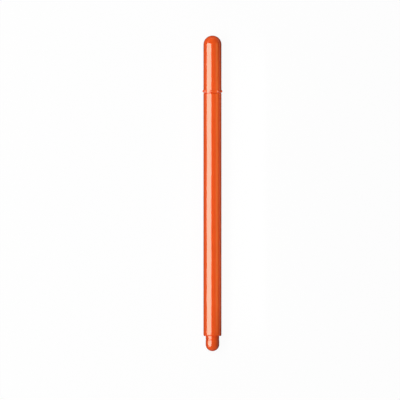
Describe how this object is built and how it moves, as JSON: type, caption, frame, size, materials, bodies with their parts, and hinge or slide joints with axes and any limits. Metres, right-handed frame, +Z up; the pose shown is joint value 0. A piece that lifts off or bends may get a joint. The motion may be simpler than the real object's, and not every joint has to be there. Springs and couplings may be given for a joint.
{
  "type": "felt-tip pen",
  "caption": "Slim orange felt-tip pen lying on its side, with a push-on domed cap ringed by small nubs, a fine pointed nib in a black holder and a narrower rounded tail.",
  "frame": {"origin": "the middle of the lying pen's length, on the surface it lies on, under its axis", "axes": "+Y along the pen from the tail to the cap, +Z up from the surface it lies on, +X to the right when +Y points away"},
  "size_m": [0.0094, 0.16, 0.0094],
  "materials": {
    "barrel_orange": "glossy moulded polypropylene, orange",
    "cap_orange": "glossy moulded polypropylene, orange",
    "holder_black": "satin moulded plastic, black",
    "nib_fibre": "bonded fibre rod ground to a point, inked dark at the tip",
    "ink_fibre": "bonded polyester fibre soaked with orange ink",
    "clear_film": "thin clear film",
    "inner_cap_natural": "natural polyethylene, unpigmented"
  },
  "bodies": {
    "pen": {"barrel": "barrel_orange", "end_plug": "barrel_orange", "ink_reservoir": "ink_fibre", "reservoir_wrap": "clear_film", "nib_holder": "holder_black", "nib": "nib_fibre"},
    "cap": {"cap": "cap_orange", "inner_cap": "inner_cap_natural"}
  },
  "joints": [
    {"name": "cap_pull", "type": "slide", "parent": "pen", "child": "cap", "axis": [0, 1, 0], "range_m": [0, 0.02]}
  ]
}
